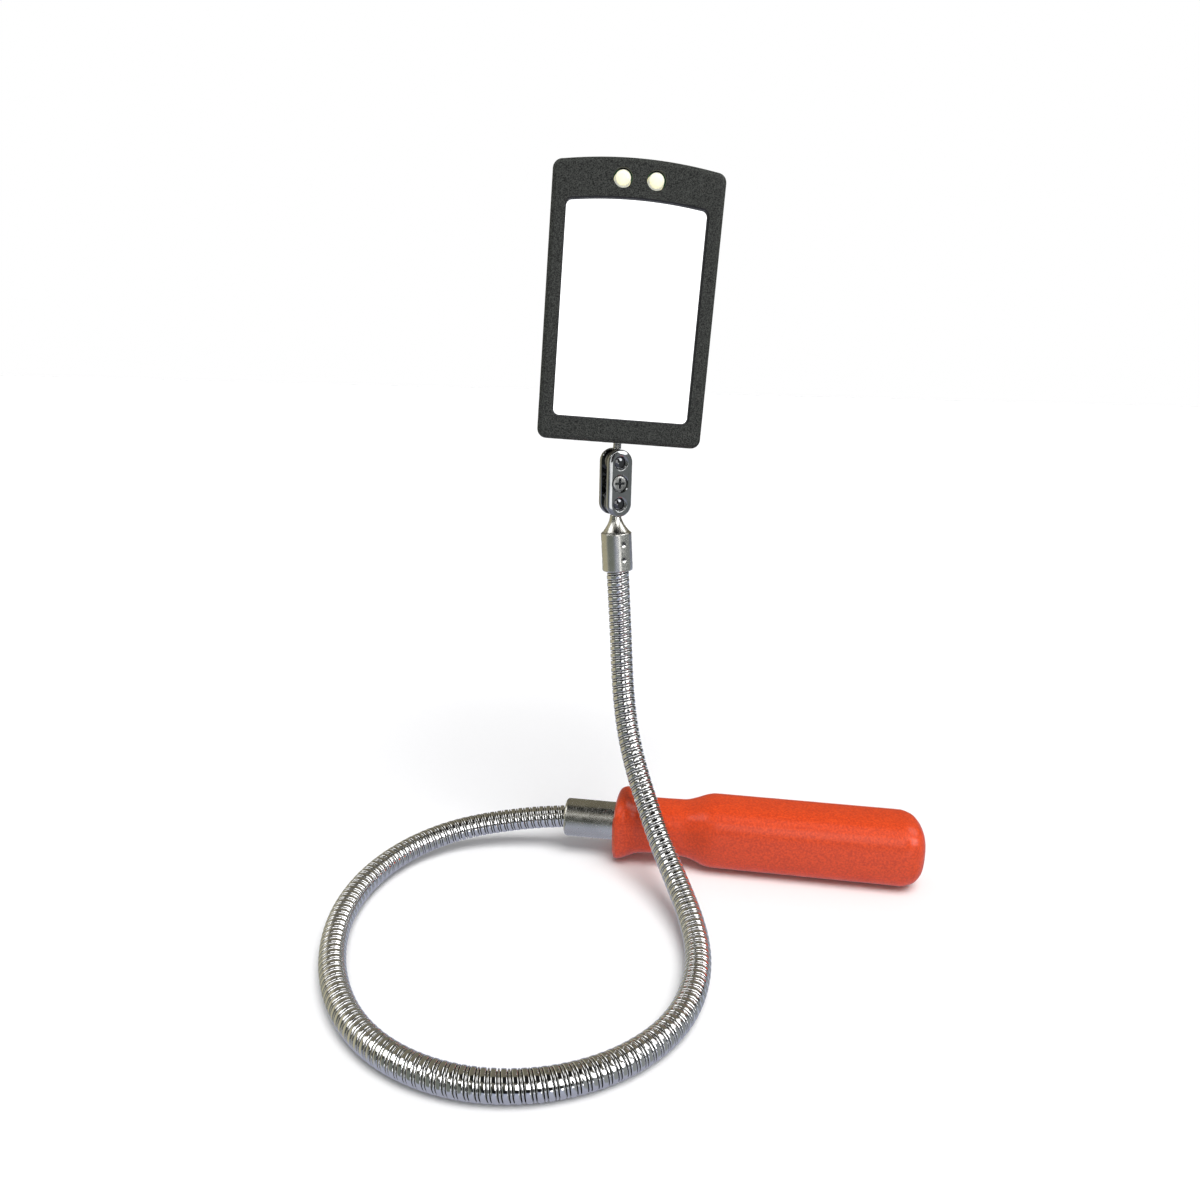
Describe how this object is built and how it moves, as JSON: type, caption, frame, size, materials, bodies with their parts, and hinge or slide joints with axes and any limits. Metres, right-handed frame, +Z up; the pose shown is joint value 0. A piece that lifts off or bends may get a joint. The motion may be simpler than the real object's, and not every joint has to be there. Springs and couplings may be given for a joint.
{
  "type": "lighted flexible inspection mirror",
  "caption": "Lighted rectangular inspection mirror on a double-ball link and a flexible steel gooseneck with a moulded orange handle.",
  "frame": {"origin": "on the table, under the middle of the handle, at the centre of its flat underside", "axes": "+X along the handle to its rear end, +Y to the back of the mirror, +Z up"},
  "size_m": [0.1982, 0.1582, 0.2464],
  "materials": {
    "orange_plastic": "satin moulded orange plastic",
    "charcoal_plastic": "matte charcoal plastic with a fine moulded grain",
    "black_plastic": "plain black plastic",
    "chrome_coil": "bright chrome-plated winding",
    "satin_nickel": "satin nickel plate",
    "polished_steel": "polished steel",
    "screw_steel": "zinc-plated steel",
    "mirror": "silvered glass",
    "lamp_resin": "clear resin over pale yellow phosphor",
    "foam": "foam tape",
    "board_laminate": "green solder resist",
    "cell_case": "bright pressed steel can",
    "contact_brass": "spring brass"
  },
  "bodies": {
    "handle": {"handle": "orange_plastic", "handle_ferrule": "satin_nickel", "gooseneck_01": "chrome_coil"},
    "neck_02": {"gooseneck_02": "chrome_coil"},
    "neck_03": {"gooseneck_03": "chrome_coil"},
    "neck_04": {"gooseneck_04": "chrome_coil"},
    "neck_05": {"gooseneck_05": "chrome_coil"},
    "neck_06": {"gooseneck_06": "chrome_coil"},
    "neck_07": {"gooseneck_07": "chrome_coil"},
    "neck_08": {"gooseneck_08": "chrome_coil"},
    "neck_09": {"gooseneck_09": "chrome_coil"},
    "neck_10": {"gooseneck_10": "chrome_coil"},
    "neck_11": {"gooseneck_11": "chrome_coil"},
    "neck_12": {"gooseneck_12": "chrome_coil"},
    "neck_13": {"gooseneck_13": "chrome_coil"},
    "neck_14": {"gooseneck_14": "chrome_coil"},
    "neck_15": {"gooseneck_15": "chrome_coil"},
    "neck_16": {"gooseneck_16": "chrome_coil"},
    "neck_17": {"gooseneck_17": "chrome_coil"},
    "neck_18": {"gooseneck_18": "chrome_coil"},
    "neck_19": {"gooseneck_19": "chrome_coil"},
    "neck_20": {"gooseneck_20": "chrome_coil"},
    "neck_21": {"gooseneck_21": "chrome_coil"},
    "neck_22": {"gooseneck_22": "chrome_coil"},
    "neck_23": {"gooseneck_23": "chrome_coil"},
    "neck_tip": {"gooseneck_24": "chrome_coil", "neck_ferrule": "satin_nickel"},
    "neck_ball": {"neck_ball": "polished_steel"},
    "link": {"link_plate_front": "polished_steel", "link_plate_rear": "polished_steel"},
    "link_screw": {"link_screw": "polished_steel"},
    "head_ball": {"head_ball": "polished_steel"},
    "head": {"head_stud": "satin_nickel", "stud_nut": "screw_steel", "bezel": "charcoal_plastic", "back_cover": "charcoal_plastic", "mirror_glass": "mirror", "mirror_pad": "foam", "battery_tray": "black_plastic", "led_left": "lamp_resin", "led_right": "lamp_resin", "circuit_board": "board_laminate", "switch_body": "screw_steel", "coin_cell_left": "cell_case", "coin_cell_right": "cell_case", "contact_bridge": "contact_brass", "contact_left": "contact_brass", "contact_right": "contact_brass", "back_screw_1": "screw_steel", "back_screw_2": "screw_steel", "back_screw_3": "screw_steel", "back_screw_4": "screw_steel"},
    "battery_door": {"battery_door": "charcoal_plastic"},
    "switch_slider": {"switch_slider": "black_plastic"}
  },
  "joints": [
    {"name": "neck_base_bend_02", "type": "hinge", "parent": "handle", "child": "neck_02", "pos_m": [-0.07912, -0.00028, 0.01222], "axis": [0.0022, 0.7252, -0.6885], "range_deg": [-0.5, 12.21]},
    {"name": "neck_base_bend_03", "type": "hinge", "parent": "neck_02", "child": "neck_03", "pos_m": [-0.09863, -0.00292, 0.00972], "axis": [0.1349, -0.0177, -0.9907], "range_deg": [-0.5, 15.07]},
    {"name": "neck_base_bend", "type": "hinge", "parent": "neck_03", "child": "neck_04", "pos_m": [-0.11681, -0.01042, 0.00736], "axis": [0.1172, 0.0275, -0.9927], "range_deg": [0, 24.48]},
    {"name": "neck_base_bend_05", "type": "hinge", "parent": "neck_04", "child": "neck_05", "pos_m": [-0.13046, -0.02451, 0.00538], "axis": [0.1429, 0.0025, -0.9897], "range_deg": [-0.5, 24.7]},
    {"name": "neck_base_bend_06", "type": "hinge", "parent": "neck_05", "child": "neck_06", "pos_m": [-0.13719, -0.04303, 0.00435], "axis": [0.1178, 0.0116, -0.993], "range_deg": [-0.5, 19]},
    {"name": "neck_base_bend_07", "type": "hinge", "parent": "neck_06", "child": "neck_07", "pos_m": [-0.13757, -0.06283, 0.00404], "axis": [0.0478, 0.0131, -0.9988], "range_deg": [-0.5, 15.73]},
    {"name": "neck_base_bend_08", "type": "hinge", "parent": "neck_07", "child": "neck_08", "pos_m": [-0.13281, -0.08209, 0.004], "axis": [0.001, 0.0014, -1], "range_deg": [-0.5, 13.18]},
    {"name": "neck_loop_bend_09", "type": "hinge", "parent": "neck_08", "child": "neck_09", "pos_m": [-0.1239, -0.09981, 0.00399], "axis": [0.0039, 0.0029, -1], "range_deg": [-0.5, 14.49]},
    {"name": "neck_loop_bend_10", "type": "hinge", "parent": "neck_09", "child": "neck_10", "pos_m": [-0.11092, -0.11477, 0.004], "axis": [-0.0006, -0.001, -1], "range_deg": [-0.5, 19.61]},
    {"name": "neck_loop_bend_11", "type": "hinge", "parent": "neck_10", "child": "neck_11", "pos_m": [-0.09382, -0.12465, 0.004], "axis": [0, 0, -1], "range_deg": [-0.5, 20.98]},
    {"name": "neck_loop_bend", "type": "hinge", "parent": "neck_11", "child": "neck_12", "pos_m": [-0.0743, -0.1279, 0.004], "axis": [0, 0, -1], "range_deg": [0, 21.51]},
    {"name": "neck_loop_bend_13", "type": "hinge", "parent": "neck_12", "child": "neck_13", "pos_m": [-0.05494, -0.12389, 0.004], "axis": [0.0004, -0.0019, -1], "range_deg": [-0.5, 20.99]},
    {"name": "neck_loop_bend_14", "type": "hinge", "parent": "neck_13", "child": "neck_14", "pos_m": [-0.03819, -0.11337, 0.00399], "axis": [-0.003, 0.0035, -1], "range_deg": [-0.5, 21.71]},
    {"name": "neck_loop_bend_15", "type": "hinge", "parent": "neck_14", "child": "neck_15", "pos_m": [-0.02641, -0.09753, 0.00401], "axis": [-0.0303, 0.0236, -0.9993], "range_deg": [-0.5, 22.08]},
    {"name": "neck_loop_bend_16", "type": "hinge", "parent": "neck_15", "child": "neck_16", "pos_m": [-0.02138, -0.07842, 0.0041], "axis": [-0.0846, 0.038, -0.9957], "range_deg": [-0.5, 17.86]},
    {"name": "neck_loop_bend_17", "type": "hinge", "parent": "neck_16", "child": "neck_17", "pos_m": [-0.02224, -0.05866, 0.00517], "axis": [-0.5289, 0.0134, -0.8486], "range_deg": [-0.5, 19.61]},
    {"name": "neck_loop_bend_18", "type": "hinge", "parent": "neck_17", "child": "neck_18", "pos_m": [-0.02826, -0.04029, 0.00951], "axis": [-0.8246, -0.158, -0.5433], "range_deg": [-0.5, 17.1]},
    {"name": "neck_stem_bend_19", "type": "hinge", "parent": "neck_18", "child": "neck_19", "pos_m": [-0.03667, -0.02457, 0.01814], "axis": [-0.8958, -0.4232, -0.1356], "range_deg": [-6.56, 17.44]},
    {"name": "neck_stem_sway", "type": "hinge", "parent": "neck_19", "child": "neck_20", "pos_m": [-0.04481, -0.01177, 0.0309], "axis": [-0.2288, 0.7039, -0.6724], "range_deg": [-15, 15]},
    {"name": "neck_stem_bend", "type": "hinge", "parent": "neck_20", "child": "neck_21", "pos_m": [-0.05152, -0.00164, 0.04659], "axis": [-0.7586, -0.6425, 0.1084], "range_deg": [-7, 19.58]},
    {"name": "neck_stem_sway_22", "type": "hinge", "parent": "neck_21", "child": "neck_22", "pos_m": [-0.05545, 0.00584, 0.06453], "axis": [-0.3239, 0.8855, -0.3332], "range_deg": [-15.5, 15.5]},
    {"name": "neck_stem_bend_23", "type": "hinge", "parent": "neck_22", "child": "neck_23", "pos_m": [-0.05747, 0.01024, 0.08376], "axis": [-0.9809, -0.1805, -0.0727], "range_deg": [-5.44, 14.32]},
    {"name": "neck_stem_sway_24", "type": "hinge", "parent": "neck_23", "child": "neck_tip", "pos_m": [-0.05908, 0.01134, 0.10353], "axis": [-0.3621, 0.9311, -0.0442], "range_deg": [-15.5, 15.5]},
    {"name": "neck_ball_turn", "type": "hinge", "parent": "neck_tip", "child": "neck_ball", "pos_m": [-0.0611, 0.0119, 0.13226], "axis": [-0.0697, 0.0193, 0.9974], "range_deg": [-180, 180]},
    {"name": "neck_ball_swing", "type": "hinge", "parent": "neck_ball", "child": "link", "pos_m": [-0.0611, 0.0119, 0.13226], "axis": [-0.506, 0.8625, 0], "range_deg": [-90, 90]},
    {"name": "link_screw_turn", "type": "hinge", "parent": "link", "child": "link_screw", "pos_m": [-0.0611, 0.0119, 0.13961], "axis": [-0.506, 0.8625, 0], "range_deg": [0, 360]},
    {"name": "head_ball_swing", "type": "hinge", "parent": "link", "child": "head_ball", "pos_m": [-0.0611, 0.0119, 0.14696], "axis": [0.506, -0.8625, 0], "range_deg": [-80, 80]},
    {"name": "head_ball_turn", "type": "hinge", "parent": "head_ball", "child": "head", "pos_m": [-0.0611, 0.0119, 0.14696], "axis": [0.0547, 0.011, 0.9984], "range_deg": [-180, 180]},
    {"name": "battery_door_slide", "type": "slide", "parent": "head", "child": "battery_door", "axis": [0.9787, 0.1973, -0.0558], "range_m": [0, 0.03]},
    {"name": "switch_slide", "type": "slide", "parent": "head", "child": "switch_slider", "axis": [0.9787, 0.1973, -0.0558], "range_m": [0, 0.003]}
  ],
  "couplings": [
    {"joint": "neck_base_bend_02", "follows": "neck_base_bend", "ratio": 0.47832},
    {"joint": "neck_base_bend_03", "follows": "neck_base_bend", "ratio": 0.59519},
    {"joint": "neck_base_bend_05", "follows": "neck_base_bend", "ratio": 0.98832},
    {"joint": "neck_base_bend_06", "follows": "neck_base_bend", "ratio": 0.75574},
    {"joint": "neck_base_bend_07", "follows": "neck_base_bend", "ratio": 0.62203},
    {"joint": "neck_base_bend_08", "follows": "neck_base_bend", "ratio": 0.51792},
    {"joint": "neck_loop_bend_09", "follows": "neck_loop_bend", "ratio": 0.65017},
    {"joint": "neck_loop_bend_10", "follows": "neck_loop_bend", "ratio": 0.88824},
    {"joint": "neck_loop_bend_11", "follows": "neck_loop_bend", "ratio": 0.95224},
    {"joint": "neck_loop_bend_13", "follows": "neck_loop_bend", "ratio": 0.95233},
    {"joint": "neck_loop_bend_14", "follows": "neck_loop_bend", "ratio": 0.98592},
    {"joint": "neck_loop_bend_15", "follows": "neck_loop_bend", "ratio": 1.0032},
    {"joint": "neck_loop_bend_16", "follows": "neck_loop_bend", "ratio": 0.80705},
    {"joint": "neck_loop_bend_17", "follows": "neck_loop_bend", "ratio": 0.88834},
    {"joint": "neck_loop_bend_18", "follows": "neck_loop_bend", "ratio": 0.77171},
    {"joint": "neck_stem_bend_19", "follows": "neck_stem_bend", "ratio": 0.8654},
    {"joint": "neck_stem_sway_22", "follows": "neck_stem_sway", "ratio": 1},
    {"joint": "neck_stem_bend_23", "follows": "neck_stem_bend", "ratio": 0.70572},
    {"joint": "neck_stem_sway_24", "follows": "neck_stem_sway", "ratio": 1}
  ]
}
